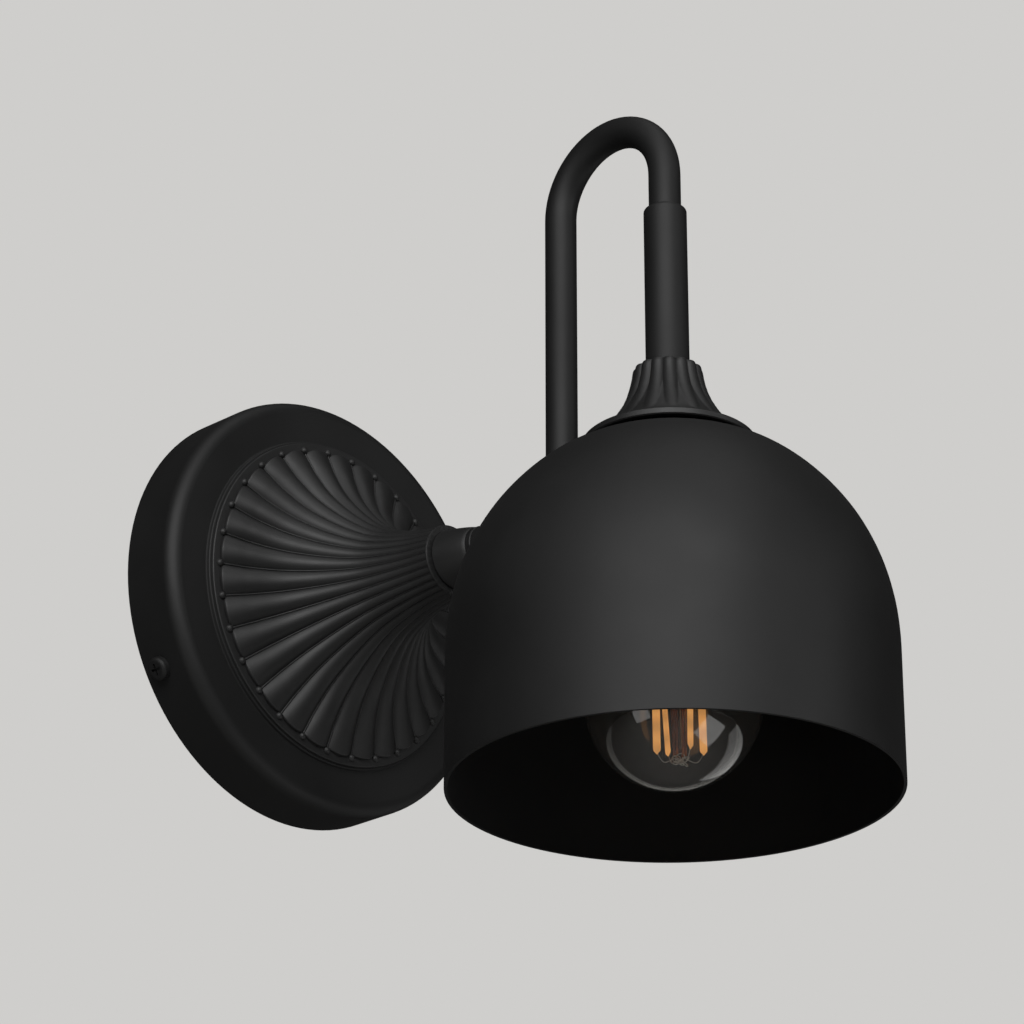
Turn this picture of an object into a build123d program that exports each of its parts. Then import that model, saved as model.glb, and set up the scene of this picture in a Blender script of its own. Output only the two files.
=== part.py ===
from build123d import *
import math
import os

# Hanging pendant wall sconce, in millimetres. +Z is up and the wall is the plane Y = 0.
# The origin is the centre of the canopy's back. The light stands out of the wall along -Y.
# Wall-side pieces are turned about the wall axis and drawn in the "wall frame": local Z is the
# distance from the wall, local X is right and local Y is up. Lamp-side pieces are turned about the
# vertical lamp axis, with local Z equal to the real height.

# ---- driving dimensions ------------------------------------------------------------------------
CANOPY_R = 83.5
CANOPY_DEPTH = 25.0
CANOPY_WALL = 1.6
CANOPY_EDGE_R = 5.0

FLUTES = 30
FLANGE_R = 65.8
FLANGE_THICKNESS = 2.2
BEAD_RING_R = 61.9
BEAD_R = 1.25
FLUTE_BULGE = 0.55  # height of a flute over half its width
TRUMPET_WALL = 2.0
TRUMPET_END = 91.0

COLLAR_END = 104.7
ARM_START = 107.4
ARM_R = 6.0
ARM_BORE_R = 5.0
BEND_R = 26.5
UPRIGHT = 146.7
REACH = UPRIGHT + 2 * BEND_R
SPRING_Z = 123.3
SLEEVE_R = 8.0
SLEEVE_TOP = 108.4

CAP_TOP = 43.5
CAP_SEAT = 33.0
CAP_FLUTES = 16
CAP_FLANGE_R = 31.5

SHADE_R = 80.0
SHADE_RIM_Z = -118.4
SHADE_SKIRT = 49.1
SHADE_TOP_Z = 14.1
SHADE_WALL = 1.2
DOME_HEIGHT = 84.2
DOME_POWER = 2.08
DOME_FLAT_R = 12.0

NIPPLE_R = 4.95
NIPPLE_BORE_R = 3.6
THREAD_R = 5.0
NUT_FLATS = 14.0
FIT = 0.05  # radial clearance of a hole on what passes through it

BRACKET_PLATE = 2.0
LUG_ANGLES = (90, 210, 330)
LUG_WIDTH = 16.0
LUG_FACE = 81.3
SIDE_SCREW_DEPTH = 8.6
SLOT_SPACING = 60.0
SLOT_LENGTH = 14.0
SLOT_WIDTH = 5.0
CABLE_HOLE_R = 9.0
CABLE_HOLE_Z = 24.0
EARTH_SCREW_AT = (26.0, 24.0)

BLOCK_SIZE = (28.0, 15.0, 12.0)  # wide, high, deep
BLOCK_Z = -32.0
WAY_PITCH = 9.0

BULB_BOTTOM_Z = -117.6
BULB_LENGTH = 105.0
GLOBE_R = 31.6
GLASS_WALL = 0.8
CAP_SHELL_R = 13.1
CAP_LENGTH = 23.0
FILAMENTS = 4
FILAMENT_LENGTH = 38.0
LEAD_R = 0.9
LEAD_X = 1.2

# ---- derived -----------------------------------------------------------------------------------
CANOPY_FACE_BACK = CANOPY_DEPTH - CANOPY_WALL
GLOBE_Z = BULB_BOTTOM_Z + GLOBE_R
BULB_TIP_Z = BULB_BOTTOM_Z + BULB_LENGTH
SHELL_TOP_Z = BULB_TIP_Z - 4.0
SHELL_END_Z = SHELL_TOP_Z - CAP_LENGTH
SKIRT_Z = SHADE_RIM_Z + SHADE_SKIRT

OUT = Location((0, 0, 0), (90, 0, 0))  # wall frame to world: local Z points along -Y
LAMP = Location((0, -REACH, 0))


# ---- helpers -----------------------------------------------------------------------------------
def turned(*edges):
    """A solid of revolution about Z from edges that close on themselves in the XZ plane."""
    profile = make_face(Curve() + list(edges))
    return revolve(profile, Axis.Z)


def outline(*points):
    """Straight edges through (radius, height) points, not closed."""
    return Polyline(*[(r, 0, z) for r, z in points])


def closed_outline(*points):
    """Straight edges through (radius, height) points, closed."""
    return Polyline(*[(r, 0, z) for r, z in points], close=True)


def smooth(*points, start=None, end=None):
    """One smooth curve through (radius, height) points, with the end directions if given."""
    tangents = [(t[0], 0, t[1]) for t in (start, end) if t]
    return Spline(*[(r, 0, z) for r, z in points], tangents=tangents)


def ring(outer_r, inner_r, low, high):
    """A plain ring about Z."""
    return turned(closed_outline((inner_r, low), (outer_r, low), (outer_r, high), (inner_r, high)))


def rod(radius, start, end):
    """A round bar between two points."""
    start, end = Vector(*start), Vector(*end)
    return Solid.make_cylinder(radius, (end - start).length, Plane(start, z_dir=end - start))


def hex_nut(low, high):
    """A hexagon nut about Z with a plain bore on the thread's size."""
    corner_r = NUT_FLATS / math.sqrt(3)
    body = Pos(0, 0, low) * extrude(RegularPolygon(corner_r, 6), high - low)
    chamfered = turned(
        closed_outline((0, low), (corner_r - 0.9, low), (corner_r, low + 0.5),
                       (corner_r, high - 0.5), (corner_r - 0.9, high), (0, high))
    )
    return body & chamfered - ring(THREAD_R, 0.0, low, high)


def around(solid, count):
    """Copies of a one-sector solid fused into a full ring about Z, in two rounds."""
    step = 360 / count
    first = next(n for n in (5, 4, 3, 2) if count % n == 0)
    group = solid.fuse(*[solid.rotate(Axis.Z, step * i) for i in range(1, first)])
    groups = count // first
    return group.fuse(*[group.rotate(Axis.Z, 360 / groups * i) for i in range(1, groups)])


def sector(count, low, high):
    """The wedge of space that belongs to one of count equal parts about Z, centred on +X."""
    reach = 100.0
    half = reach * math.tan(math.pi / count)
    face = make_face(Polyline((0, 0), (reach, -half), (reach, half), close=True))
    return Pos(0, 0, low) * extrude(face, high - low)


# ---- wall side: bracket, canopy, terminal block ------------------------------------------------
def wall_bracket():
    """Pressed plate with three arms, each bent forward into a lug with a thread."""
    arms = [Rot(0, 0, a) * Pos(LUG_FACE / 2, 0) * Rectangle(LUG_FACE, LUG_WIDTH) for a in LUG_ANGLES]
    plate = extrude(Circle(48) + arms, BRACKET_PLATE)
    lug_depth = 15.0
    for angle in LUG_ANGLES:
        lug = Pos(LUG_FACE - 1.0, 0, lug_depth / 2) * Box(2.0, LUG_WIDTH, lug_depth)
        thread = Pos(LUG_FACE - 1.0, 0, SIDE_SCREW_DEPTH) * Rot(0, 90, 0) * Cylinder(2.0, 6)
        plate += Rot(0, 0, angle) * lug
        plate -= Rot(0, 0, angle) * thread
    slots = [Pos(s * SLOT_SPACING / 2, 0) * SlotOverall(SLOT_LENGTH, SLOT_WIDTH) for s in (-1, 1)]
    slots += [Pos(0, CABLE_HOLE_Z) * Circle(CABLE_HOLE_R), Pos(*EARTH_SCREW_AT) * Circle(2.0)]
    slots += [Pos(WAY_PITCH / 2, BLOCK_Z) * Circle(1.5)]
    plate -= extrude(Sketch() + slots, BRACKET_PLATE)
    return OUT * plate


def earth_screw():
    """Cheese-head screw for the earth wire."""
    head = turned(closed_outline((0, 0), (3.5, 0), (3.5, 2.2), (3.1, 2.6), (0, 2.6)))
    head -= Pos(0, 0, 2.3) * Box(8, 1.0, 1.2)
    screw = Pos(0, 0, BRACKET_PLATE) * head + Pos(0, 0, BRACKET_PLATE / 2 + 0.1) * Cylinder(1.95, 1.8)
    return OUT * Pos(*EARTH_SCREW_AT, 0) * screw


def way_positions():
    """The clamp screws' places on the terminal block: three ways, two rows."""
    return [(x * WAY_PITCH, BLOCK_Z + z) for x in (-1, 0, 1) for z in (-4.0, 4.0)]


def terminal_block():
    """Three-way block: wire tunnels from top to bottom, a clamp screw well at each end of each."""
    wide, high, deep = BLOCK_SIZE
    middle = BRACKET_PLATE + deep / 2
    block = Pos(0, BLOCK_Z, middle) * Box(wide, high, deep)
    block = fillet(block.edges().filter_by(Axis.Z), 1.5)
    for x, z in way_positions():
        block -= Pos(x, z, BRACKET_PLATE + deep - 2.5) * Cylinder(1.9, 5)
    for x in (-WAY_PITCH, 0, WAY_PITCH):
        block -= Pos(x, BLOCK_Z, middle) * Rot(90, 0, 0) * Cylinder(1.6, high)
    block -= Pos(WAY_PITCH / 2, BLOCK_Z, middle) * Cylinder(1.6, deep)
    return OUT * block


def slotted_screw(radius, length):
    """A small grub screw along Z with a screwdriver slot in its outer end."""
    return Pos(0, 0, length / 2) * Cylinder(radius, length) - Pos(0, 0, length) * Box(4, 0.7, 1.4)


def terminal_screws():
    """Six clamp screws down in their wells."""
    top = BRACKET_PLATE + BLOCK_SIZE[2]
    screws = [Pos(x, z, top - 4.6) * slotted_screw(1.8, 3.2) for x, z in way_positions()]
    return OUT * Compound(screws)


def terminal_fixing():
    """The screw that holds the block to the bracket."""
    top = BRACKET_PLATE + BLOCK_SIZE[2]
    head = turned(closed_outline((0, top), (2.7, top), (2.3, top + 1.6), (0, top + 1.6)))
    head -= Pos(0, 0, top + 1.4) * Box(6, 0.8, 1.0)
    shank = Pos(0, 0, top / 2 + 0.1) * Cylinder(1.45, top - 0.2)
    return OUT * Pos(WAY_PITCH / 2, BLOCK_Z) * (head + shank)


def canopy():
    """Spun cup: straight side, rounded front edge, open back, holes for nipple and side screws."""
    inner_r = CANOPY_R - CANOPY_WALL
    inner_edge = CANOPY_EDGE_R - CANOPY_WALL
    edge_start = CANOPY_DEPTH - CANOPY_EDGE_R
    sin45 = math.sin(math.pi / 4)
    outer_mid = (CANOPY_R - CANOPY_EDGE_R * (1 - sin45), CANOPY_DEPTH - CANOPY_EDGE_R * (1 - sin45))
    inner_mid = (inner_r - inner_edge * (1 - sin45), CANOPY_FACE_BACK - inner_edge * (1 - sin45))
    cup = turned(
        outline((inner_r, 0), (CANOPY_R, 0), (CANOPY_R, edge_start)),
        ThreePointArc((CANOPY_R, 0, edge_start), (outer_mid[0], 0, outer_mid[1]),
                      (CANOPY_R - CANOPY_EDGE_R, 0, CANOPY_DEPTH)),
        outline((CANOPY_R - CANOPY_EDGE_R, CANOPY_DEPTH), (THREAD_R, CANOPY_DEPTH),
                (THREAD_R, CANOPY_FACE_BACK), (inner_r - inner_edge, CANOPY_FACE_BACK)),
        ThreePointArc((inner_r - inner_edge, 0, CANOPY_FACE_BACK), (inner_mid[0], 0, inner_mid[1]),
                      (inner_r, 0, edge_start)),
        outline((inner_r, edge_start), (inner_r, 0)),
    )
    for angle in LUG_ANGLES:
        hole = Pos(CANOPY_R, 0, SIDE_SCREW_DEPTH) * Rot(0, 90, 0) * Cylinder(2.25, 8)
        cup -= Rot(0, 0, angle) * hole
    return OUT * cup


def canopy_screws():
    """Three pan-head screws through the canopy's side into the bracket's lugs."""
    head = turned(
        outline((0, 0), (4.5, 0), (4.5, 1.9)),
        ThreePointArc((4.5, 0, 1.9), (4.0, 0, 2.75), (3.0, 0, 3.1)),
        outline((3.0, 3.1), (0, 3.1), (0, 0)),
    )
    recess = Pos(0, 0, 2.6) * (Box(4.6, 0.9, 1.4) + Box(0.9, 4.6, 1.4))
    shank_length = 9.0
    screw = head - recess + Pos(0, 0, -shank_length / 2) * Cylinder(1.95, shank_length)
    seat = Pos(CANOPY_R + 0.05, 0, SIDE_SCREW_DEPTH) * Rot(0, 90, 0)
    return OUT * Compound([Rot(0, 0, angle) * seat * screw for angle in LUG_ANGLES])


# ---- the fluted trumpet and its fixing ---------------------------------------------------------
# The valleys between the flutes follow this curve, as (radius, distance from the wall).
TRUMPET_CURVE = Spline(
    *[(r, 0, d) for r, d in ((60, 27.6), (50, 31.5), (40, 37.3), (30, 46.3), (22, 56.5),
                             (17.8, 66.0), (14.6, 78.0), (12.7, TRUMPET_END))]
)
# Each flute starts blunt at the flange: distance along the curve and share of its full width.
FLUTE_TIP = ((0.0, 0.5), (0.6, 0.74), (1.8, 0.91), (4.0, 1.0))
FLUTE_STATIONS = (0.14, 0.25, 0.38, 0.52, 0.66, 0.8, 0.9, 1.0)


def trumpet_normal(u):
    """The outward direction, square to the trumpet's curve."""
    direction = TRUMPET_CURVE % u
    return Vector(direction.Z, 0, -direction.X)


def flute_circle(u, share=1.0):
    """The round section of a flute at u along the curve, sunk so that flutes meet in a valley."""
    point = TRUMPET_CURVE @ u
    half_width = point.X * math.sin(math.pi / FLUTES)
    radius = half_width * (1 + FLUTE_BULGE**2) / (2 * FLUTE_BULGE)
    sunk = half_width * (1 - FLUTE_BULGE**2) / (2 * FLUTE_BULGE)
    middle = Vector(point.X * math.cos(math.pi / FLUTES), 0, point.Z) - trumpet_normal(u) * sunk
    plane = Plane(origin=middle, x_dir=(0, 1, 0), z_dir=TRUMPET_CURVE % u)
    return Wire.make_circle(radius * share, plane)


def trumpet():
    """Casting of flutes that run from a flat beaded flange to a small scalloped end, hollow."""
    length = TRUMPET_CURVE.length
    circles = [flute_circle(distance / length, share) for distance, share in FLUTE_TIP]
    circles += [flute_circle(u) for u in FLUTE_STATIONS]
    flute = Solid.make_loft(circles) & sector(FLUTES, CANOPY_DEPTH, TRUMPET_END)
    body = around(flute.solids()[0], FLUTES)
    body = body.fuse(Pos(0, 0, CANOPY_DEPTH + FLANGE_THICKNESS / 2) * Cylinder(FLANGE_R, FLANGE_THICKNESS))
    inner = [TRUMPET_CURVE @ u - trumpet_normal(u) * TRUMPET_WALL for u in (0.05, 0.3, 0.5, 0.7, 0.9)]
    hollow = turned(
        Spline(*[(p.X, 0, p.Z) for p in inner]),
        outline((inner[-1].X, inner[-1].Z), (0, inner[-1].Z), (0, CANOPY_DEPTH),
                (inner[0].X, CANOPY_DEPTH), (inner[0].X, inner[0].Z)),
    )
    body = body.cut(hollow).cut(Pos(0, 0, TRUMPET_END) * Cylinder(THREAD_R, 40))
    bead = Sphere(BEAD_R)
    beads = [Rot(0, 0, (i + 0.5) * 360 / FLUTES) * Pos(BEAD_RING_R, 0, CANOPY_DEPTH + FLANGE_THICKNESS)
             * bead for i in range(FLUTES)]
    body = body.fuse(*beads)
    return OUT * body


def tie_nipple():
    """Long hollow threaded tube that ties canopy, trumpet, collar and arm together."""
    return OUT * ring(NIPPLE_R, NIPPLE_BORE_R, 15.5, 118.0)


def tie_washer():
    """Washer behind the canopy's face."""
    return OUT * ring(10.5, THREAD_R + 0.2, CANOPY_FACE_BACK - 1.0, CANOPY_FACE_BACK)


def tie_nut():
    """Nut on the nipple inside the canopy."""
    return OUT * hex_nut(CANOPY_FACE_BACK - 4.5, CANOPY_FACE_BACK - 1.0)


def neck_collar():
    """Ring after the trumpet that narrows in a gentle curve."""
    collar = turned(
        outline((THREAD_R, TRUMPET_END), (11.1, TRUMPET_END)),
        ThreePointArc((11.1, 0, TRUMPET_END), (10.2, 0, 99.3), (9.0, 0, COLLAR_END - 0.5)),
        outline((9.0, COLLAR_END - 0.5), (8.6, COLLAR_END), (THREAD_R, COLLAR_END),
                (THREAD_R, TRUMPET_END)),
    )
    return OUT * collar


def lock_ring():
    """Thin ring that stands off the collar on a narrow step, which leaves the dark groove."""
    step = COLLAR_END + 1.1
    return OUT * turned(
        closed_outline((THREAD_R, COLLAR_END), (7.9, COLLAR_END), (7.9, step), (8.3, step),
                       (8.6, step + 0.3), (8.6, ARM_START - 0.4), (8.3, ARM_START - 0.1),
                       (THREAD_R, ARM_START - 0.1))
    )


def arm_ferrule():
    """Ferrule round the arm's end, rounded off towards the tube."""
    bore, far = ARM_R + FIT, ARM_START + 9.6
    return OUT * turned(
        outline((bore, ARM_START), (8.3, ARM_START), (8.3, far - 1.6)),
        ThreePointArc((8.3, 0, far - 1.6), (7.85, 0, far - 0.5), (6.8, 0, far)),
        outline((6.8, far), (bore, far), (bore, ARM_START)),
    )


# ---- arm, sleeve and leads ---------------------------------------------------------------------
def arm_path(x, start, low):
    """The arm's centre line at a sideways offset: out of the wall, up, over and down."""
    turn = BEND_R * (1 - math.sin(math.pi / 4))
    elbow = -(UPRIGHT - BEND_R)
    over = -(UPRIGHT + BEND_R)
    return [
        Line((x, -start, 0), (x, elbow, 0)),
        ThreePointArc((x, elbow, 0), (x, -UPRIGHT + turn, turn), (x, -UPRIGHT, BEND_R)),
        Line((x, -UPRIGHT, BEND_R), (x, -UPRIGHT, SPRING_Z)),
        ThreePointArc((x, -UPRIGHT, SPRING_Z), (x, over, SPRING_Z + BEND_R), (x, -REACH, SPRING_Z)),
        Line((x, -REACH, SPRING_Z), (x, -REACH, low)),
    ]


def arm_tube():
    """One bent tube: elbow, upright and the half circle over the lamp."""
    path = arm_path(0, ARM_START, CAP_SEAT + 0.5)
    section = Plane(path[0] @ 0, z_dir=path[0] % 0) * (Circle(ARM_R) - Circle(ARM_BORE_R))
    return sweep(section, path=Wire([edge for piece in path for edge in piece.edges()]))


def arm_sleeve():
    """Sleeve on the arm's hanging end, with a rounded shoulder."""
    bore, rounding = ARM_R + FIT, 1.6
    return LAMP * turned(
        outline((bore, CAP_SEAT), (SLEEVE_R, CAP_SEAT), (SLEEVE_R, SLEEVE_TOP - rounding)),
        ThreePointArc((SLEEVE_R, 0, SLEEVE_TOP - rounding), (SLEEVE_R - 0.35, 0, SLEEVE_TOP - 0.5),
                      (SLEEVE_R - 1.3, 0, SLEEVE_TOP)),
        outline((SLEEVE_R - 1.3, SLEEVE_TOP), (bore, SLEEVE_TOP), (bore, CAP_SEAT)),
    )


def supply_lead(side):
    """Insulated lead from its way in the terminal block through the arm to the lampholder."""
    way_top = BLOCK_Z + BLOCK_SIZE[1] / 2
    way_depth = BRACKET_PLATE + BLOCK_SIZE[2] / 2
    x = side * LEAD_X
    start = FilletPolyline((side * WAY_PITCH, -way_depth, way_top - 5.0),
                           (side * WAY_PITCH, -way_depth, way_top + 8.0),
                           (x, -10.5, 0), (x, -40.0, 0), radius=4.0)
    end = FilletPolyline((x, -REACH, 20.0), (x, -REACH, 2.0), (side * 3.6, -REACH, -2.4), radius=2.5)
    run = arm_path(x, 40.0, 20.0)
    pieces = [start, *run, end]
    path = Wire([edge for piece in pieces for edge in piece.edges()])
    return sweep(Plane(path @ 0, z_dir=path % 0) * Circle(LEAD_R), path=path)


def earth_lead():
    """Earth wire from the bracket's screw to the middle way of the block."""
    way_top = BLOCK_Z + BLOCK_SIZE[1] / 2
    way_depth = BRACKET_PLATE + BLOCK_SIZE[2] / 2
    screw_x, screw_z = EARTH_SCREW_AT
    level = -(BRACKET_PLATE + 1.3)
    path = FilletPolyline((0, -way_depth, way_top - 5.0), (0, -way_depth, way_top + 3.5),
                          (4.0, -4.2, way_top + 6.5), (screw_x - 2.0, level, -4.0),
                          (screw_x - 1.0, level, screw_z - 3.7), radius=2.5)
    return sweep(Plane(path @ 0, z_dir=path % 0) * Circle(LEAD_R), path=path)


def lamp_nipple():
    """Hollow threaded tube that clamps sleeve, cap, shade and lampholder together."""
    return LAMP * ring(NIPPLE_R, NIPPLE_BORE_R, 3.0, 72.0)


# ---- cap and shade -----------------------------------------------------------------------------
def shade_cap():
    """Fluted cap: round-ended flutes that fade into a bell with a thin round flange."""
    bell = turned(
        smooth((11.3, CAP_TOP - 1.0), (12.2, 37.0), (14.0, 31.2), (16.9, 25.8), (19.6, 21.7),
               (22.2, 18.3), (25.2, 15.7), (28.4, 14.1), (CAP_FLANGE_R - 0.5, 13.5)),
        outline((CAP_FLANGE_R - 0.5, 13.5), (CAP_FLANGE_R, 13.1), (CAP_FLANGE_R, 11.6),
                (CAP_FLANGE_R - 0.4, 11.3), (28.8, 11.9)),
        smooth((28.8, 11.9), (23.0, 14.6), (18.0, 20.6), (15.0, 26.4)),
        outline((15.0, 26.4), (9.5, 27.2), (9.5, 15.6), (THREAD_R, 15.6), (THREAD_R, CAP_SEAT),
                (SLEEVE_R + FIT, CAP_SEAT), (SLEEVE_R + FIT, CAP_TOP - 1.0), (11.3, CAP_TOP - 1.0)),
    )
    top_r, low_r = 2.75, 3.5
    low_z = 20.0
    lean = math.degrees(math.atan2(15.6 - 9.65, CAP_TOP - low_z))
    height = (CAP_TOP - low_z) / math.cos(math.radians(lean))
    cone = Solid.make_cone(low_r, top_r, height)
    cone = fillet(cone.edges().sort_by(Axis.Z)[-1], 1.2)
    cone = Pos(15.6, 0, low_z) * Rot(0, -lean, 0) * cone
    flute = cone & sector(CAP_FLUTES, low_z, CAP_TOP + 2)
    flutes = around(flute.solids()[0], CAP_FLUTES)
    bore = Pos(0, 0, low_z) * Cylinder(SLEEVE_R + FIT, 80, align=(Align.CENTER, Align.CENTER, Align.MIN))
    keep_clear = turned(closed_outline((0, low_z - 3), (15.0, low_z - 3), (15.0, 26.4), (9.5, 27.2),
                                       (9.5, CAP_SEAT), (0, CAP_SEAT)))
    flutes = flutes.cut(bore).cut(keep_clear)
    return LAMP * bell.fuse(flutes)


def dome_radius(z, wall=0.0):
    """Radius of the shade's dome at height z, for the outside or at a depth of wall inside it."""
    share = (z - SKIRT_Z) / (DOME_HEIGHT - wall)
    return (SHADE_R - wall) * (1 - share**DOME_POWER) ** (1 / DOME_POWER)


def dome_curve(top_z, wall=0.0):
    """The dome's section from the skirt up to its flat top."""
    height = top_z - SKIRT_Z
    levels = [SKIRT_Z + height * share for share in (0.0, 0.3, 0.56, 0.76, 0.9, 0.97)]
    points = [(dome_radius(z, wall), z) for z in levels] + [(DOME_FLAT_R, top_z)]
    return smooth(*points, start=(0, 1), end=(-1, 0.08))


def shade():
    """Spun dome on a straight skirt, open below, with a flat round the nipple's hole."""
    inner_top = SHADE_TOP_Z - SHADE_WALL
    inner_r = SHADE_R - SHADE_WALL
    return LAMP * turned(
        outline((SHADE_R, SHADE_RIM_Z), (SHADE_R, SKIRT_Z)),
        dome_curve(SHADE_TOP_Z),
        outline((DOME_FLAT_R, SHADE_TOP_Z), (THREAD_R + 0.2, SHADE_TOP_Z), (THREAD_R + 0.2, inner_top),
                (DOME_FLAT_R, inner_top)),
        dome_curve(inner_top, SHADE_WALL),
        outline((inner_r, SKIRT_Z), (inner_r, SHADE_RIM_Z), (SHADE_R, SHADE_RIM_Z)),
    )


def cap_gasket():
    """Fibre ring between the cap's boss and the shade."""
    return LAMP * ring(9.5, THREAD_R + 0.1, SHADE_TOP_Z, 15.6)


def shade_washer():
    """Steel washer under the shade."""
    top = SHADE_TOP_Z - SHADE_WALL
    return LAMP * ring(11.0, THREAD_R + 0.1, top - 1.2, top)


def shade_nut():
    """Nut that clamps the shade up against the cap."""
    top = SHADE_TOP_Z - SHADE_WALL - 1.2
    return LAMP * hex_nut(top - 3.5, top)


# ---- lampholder --------------------------------------------------------------------------------
HOLDER_R = 20.0
HOLDER_JOIN_Z = -13.0
INSERT_TOP_Z = -4.5
HOLDER_LEDGE_Z = -23.8
HOLDER_END_Z = -47.0
SHELL_BORE_R = 13.6


def holder_dome():
    """Top of the lampholder: a threaded boss that rounds out to the body's width."""
    shoulder = math.sin(math.pi / 4)
    outer, inner = 12.0, 10.2
    return LAMP * turned(
        outline((THREAD_R, 8.0), (8.0, 8.0), (8.0, 4.0)),
        ThreePointArc((8.0, 0, 4.0), (8.0 + outer * shoulder, 0, -8.0 + outer * shoulder), (HOLDER_R, 0, -8.0)),
        outline((HOLDER_R, -8.0), (HOLDER_R, HOLDER_JOIN_Z), (18.2, HOLDER_JOIN_Z), (18.2, -8.0)),
        ThreePointArc((18.2, 0, -8.0), (8.0 + inner * shoulder, 0, -8.0 + inner * shoulder), (8.0, 0, 2.2)),
        outline((8.0, 2.2), (THREAD_R, 2.2), (THREAD_R, 8.0)),
    )


def holder_skirt():
    """Body of the lampholder with three grip ridges and an open mouth."""
    ridges = []
    for z in (-17.5, -20.5, -23.5):
        ridges += [(HOLDER_R, z + 0.8), (HOLDER_R + 0.7, z + 0.4), (HOLDER_R + 0.7, z - 0.4), (HOLDER_R, z - 0.8)]
    return LAMP * turned(
        closed_outline((18.2, HOLDER_JOIN_Z - 0.1), (HOLDER_R, HOLDER_JOIN_Z - 0.1), *ridges,
                       (19.2, HOLDER_END_Z + 1.0), (18.6, HOLDER_END_Z), (17.0, HOLDER_END_Z),
                       (17.0, HOLDER_LEDGE_Z), (18.2, HOLDER_LEDGE_Z))
    )


def holder_insert():
    """Ceramic core: a thick disc with a rim that holds the screw shell."""
    core = turned(
        closed_outline((0, INSERT_TOP_Z), (15.6, INSERT_TOP_Z), (18.1, INSERT_TOP_Z - 3.7),
                       (18.1, HOLDER_LEDGE_Z), (14.3, HOLDER_LEDGE_Z), (14.3, -11.0), (0, -11.0))
    )
    for x in (-6.5, 6.5):
        core -= Pos(x, 0, INSERT_TOP_Z) * Cylinder(1.6, 6.0)
    core -= Pos(0, 5.5, -7.75) * Cylinder(1.2, 8)
    return LAMP * core


def holder_shell():
    """Thin brass screw shell with a turned-in end, held in the ceramic rim."""
    return LAMP * turned(
        closed_outline((8.0, -11.1), (14.1, -11.1), (14.1, -37.0), (SHELL_BORE_R, -37.0),
                       (SHELL_BORE_R, -11.6), (8.0, -11.6))
    )


def holder_contact():
    """Sprung centre contact: a riveted foot and a tongue bowed down to the bulb's tip."""
    profile = make_face(Polyline((7.2, -11.1), (3.6, -11.1), (1.6, -11.9), (-1.6, -11.9), (-1.6, -12.3),
                                 (1.8, -12.3), (3.9, -11.5), (7.2, -11.5), close=True))
    tongue = extrude(Plane.YZ * profile, 2.4, both=True)
    rivet = Pos(0, 5.5, -11.1) * Cylinder(1.1, 5.0, align=(Align.CENTER, Align.CENTER, Align.MIN))
    return LAMP * (tongue + rivet)


def holder_screws():
    """The two terminal screws on the ceramic core."""
    head = Pos(0, 0, 0.9) * Cylinder(2.6, 1.8) - Pos(0, 0, 1.7) * Box(6, 0.7, 0.8)
    screw = head + Pos(0, 0, -1.2) * Cylinder(1.5, 2.4)
    return LAMP * Compound([Pos(x, 0, INSERT_TOP_Z) * screw for x in (-6.5, 6.5)])


# ---- bulb --------------------------------------------------------------------------------------
NECK_R = 12.2
NECK_TOP_Z = SHELL_END_Z + 3.0
BLEND_Z = GLOBE_Z + 15.5
FLARE_Z = SHELL_END_Z + 2.0
STEM_R = 2.4
STEM_END_Z = -106.0
BEAD_GLASS_R = 3.2
FILAMENT_LOW_Z = -104.5


def bulb_glass():
    """Clear envelope: round globe, drawn in to a neck inside the screw cap."""

    def wall(inset):
        radius = GLOBE_R - inset
        blend_r = math.sqrt(radius**2 - (BLEND_Z - GLOBE_Z) ** 2)
        slope = (-(BLEND_Z - GLOBE_Z), blend_r)
        globe_side = (radius * math.cos(math.radians(-30)), GLOBE_Z + radius * math.sin(math.radians(-30)))
        neck = smooth((blend_r, BLEND_Z), (21.0 - inset, GLOBE_Z + 28.0), (14.6 - inset, GLOBE_Z + 38.5),
                      (NECK_R - inset, GLOBE_Z + 46.0), (NECK_R - inset, NECK_TOP_Z),
                      start=slope, end=(0, 1))
        globe = ThreePointArc((blend_r, 0, BLEND_Z), (globe_side[0], 0, globe_side[1]),
                              (0, 0, GLOBE_Z - radius))
        return globe, neck

    outer_globe, outer_neck = wall(0.0)
    inner_globe, inner_neck = wall(GLASS_WALL)
    return LAMP * turned(
        outer_globe, outer_neck,
        outline((NECK_R, NECK_TOP_Z), (NECK_R - GLASS_WALL, NECK_TOP_Z)),
        inner_neck, inner_globe,
        outline((0, GLOBE_Z - GLOBE_R + GLASS_WALL), (0, GLOBE_Z - GLOBE_R)),
    )


def bulb_cap():
    """Rolled metal screw cap. The thread is drawn as rings, because the cap turns in its shell."""
    turns, pitch, depth = 5, 3.6, 0.6
    outer = [(10.6, SHELL_TOP_Z), (CAP_SHELL_R - depth, SHELL_TOP_Z - 0.9)]
    for i in range(turns):
        z = SHELL_TOP_Z - 1.8 - i * pitch
        outer += [(CAP_SHELL_R, z - 0.5), (CAP_SHELL_R, z - 1.3), (CAP_SHELL_R - depth, z - 2.7)]
    outer += [(CAP_SHELL_R, SHELL_END_Z + 1.6), (CAP_SHELL_R, SHELL_END_Z)]
    inner = [(NECK_R + FIT, SHELL_END_Z), (NECK_R + FIT, SHELL_TOP_Z - 1.2), (10.2, SHELL_TOP_Z - 0.4)]
    return LAMP * turned(closed_outline(*outer, *inner))


def bulb_insulator():
    """Black glass cone between the screw cap and the centre contact."""
    return LAMP * turned(
        closed_outline((4.9, BULB_TIP_Z - 0.9), (5.6, BULB_TIP_Z - 0.9), (10.1, SHELL_TOP_Z + 0.1),
                       (10.1, SHELL_TOP_Z - 1.0), (4.9, SHELL_TOP_Z - 1.0))
    )


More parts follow.
